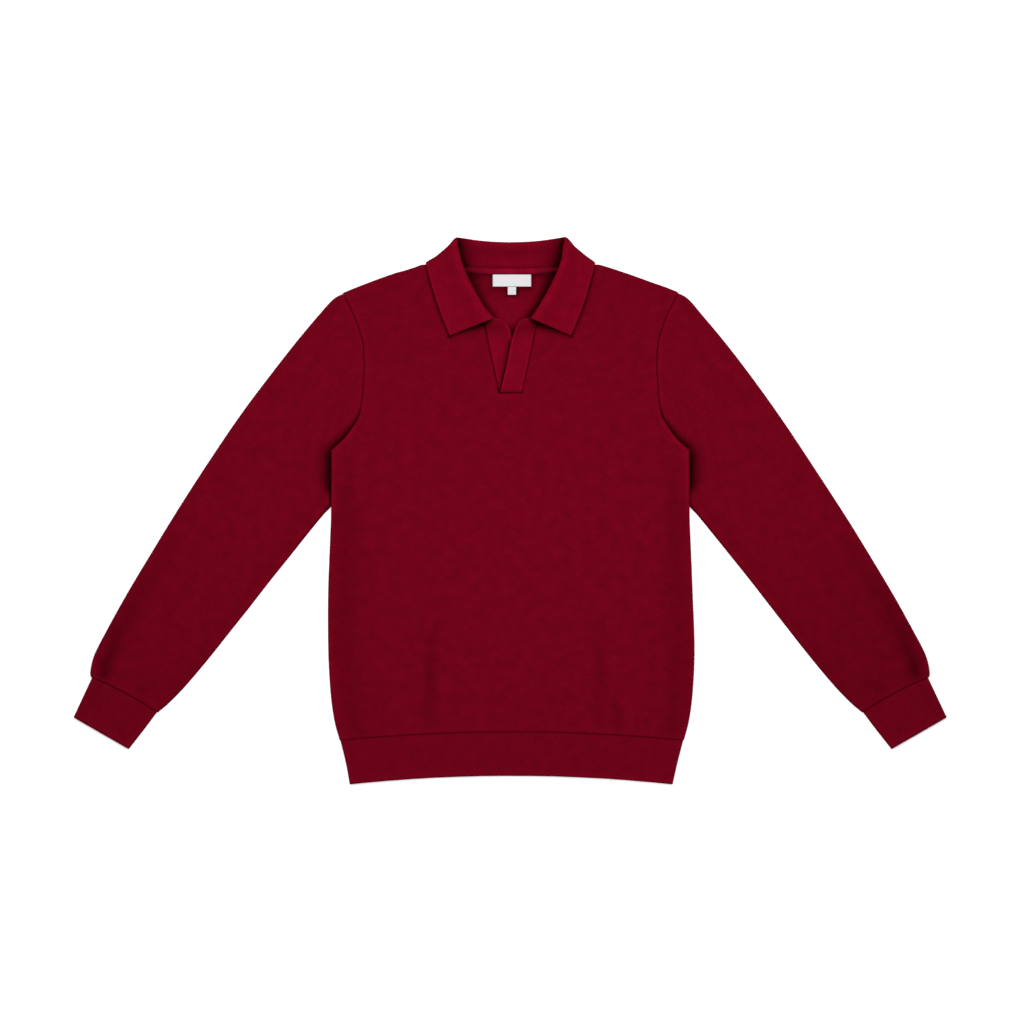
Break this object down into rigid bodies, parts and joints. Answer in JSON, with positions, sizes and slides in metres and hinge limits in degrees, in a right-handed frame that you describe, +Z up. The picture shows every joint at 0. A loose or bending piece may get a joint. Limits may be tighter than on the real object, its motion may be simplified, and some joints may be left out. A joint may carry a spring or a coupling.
{
  "type": "polo sweater",
  "caption": "Fine-knit long-sleeved polo sweater with a fold-down collar, an open V placket and a ribbed hem and cuffs, laid flat on its back with its arms out.",
  "frame": {"origin": "on the surface the garment rests on, under the middle of its outline", "axes": "+X across the garment to the wearer's left sleeve, +Y from the hem to the collar, +Z up out of the front"},
  "size_m": [1.1606, 0.7251, 0.0112],
  "materials": {
    "knit": "matte fine-gauge knit, deep wine red",
    "rib": "matte ribbed knit, deep wine red",
    "trim": "matte close plain knit, deep wine red",
    "label": "white woven satin ribbon, bare"
  },
  "bodies": {
    "root": {"front_panel": "knit", "back_panel": "knit", "sleeve_left": "knit", "sleeve_right": "knit", "cuff_left": "rib", "cuff_right": "rib", "hem_band": "rib", "collar": "trim", "placket_left": "trim", "placket_right": "trim", "neck_tape": "trim", "neck_label": "label", "size_tab": "label"}
  },
  "joints": []
}
